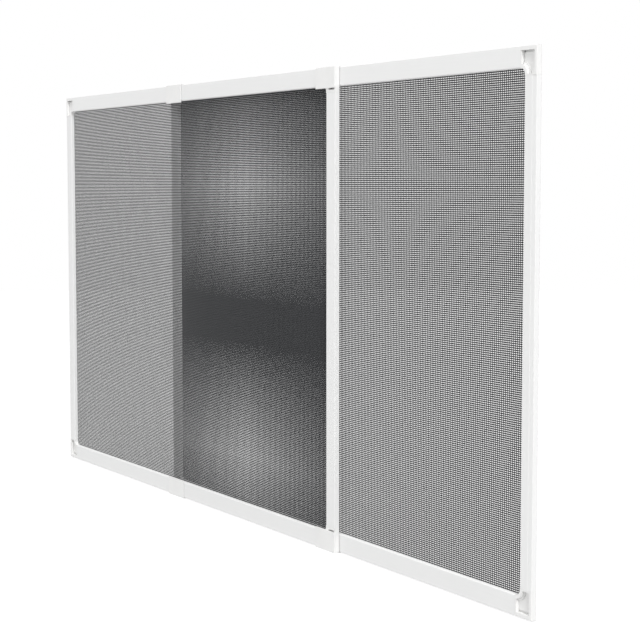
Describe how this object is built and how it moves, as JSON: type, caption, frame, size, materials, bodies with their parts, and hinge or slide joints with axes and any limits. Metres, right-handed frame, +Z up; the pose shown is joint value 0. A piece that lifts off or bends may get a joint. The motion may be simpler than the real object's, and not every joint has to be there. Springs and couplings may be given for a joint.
{
  "type": "adjustable window screen frame",
  "caption": "Adjustable insect screen for a window: framed mesh panels that slide past each other on wrap-round guides to fill the opening's width.",
  "frame": {"origin": "middle of the pulled-out screen's width and depth, on the sill that the bottom guides stand on", "axes": "+X along the slide towards the rear panel's outer end, +Y from the front panel to the rear panel, +Z up"},
  "size_m": [0.789, 0.01, 0.3826],
  "materials": {
    "frame_coating": "white satin coating",
    "moulded_white": "moulded white, fine satin",
    "charcoal_mesh": "vinyl-coated charcoal insect mesh",
    "spline_vinyl": "matt black vinyl cord"
  },
  "bodies": {
    "front_panel": {"front_top_rail": "frame_coating", "front_bottom_rail": "frame_coating", "front_outer_stile": "frame_coating", "front_inner_stile": "frame_coating", "front_top_corner": "moulded_white", "front_bottom_corner": "moulded_white", "front_top_guide": "moulded_white", "front_bottom_guide": "moulded_white", "front_mesh": "charcoal_mesh", "front_spline": "spline_vinyl"},
    "rear_panel": {"rear_top_rail": "frame_coating", "rear_bottom_rail": "frame_coating", "rear_outer_stile": "frame_coating", "rear_inner_stile": "frame_coating", "rear_top_corner": "moulded_white", "rear_bottom_corner": "moulded_white", "rear_top_guide": "moulded_white", "rear_bottom_guide": "moulded_white", "rear_mesh": "charcoal_mesh", "rear_spline": "spline_vinyl"}
  },
  "joints": [
    {"name": "panel_slide", "type": "slide", "parent": "front_panel", "child": "rear_panel", "axis": [1, 0, 0], "range_m": [-0.2445, 0.24]}
  ]
}
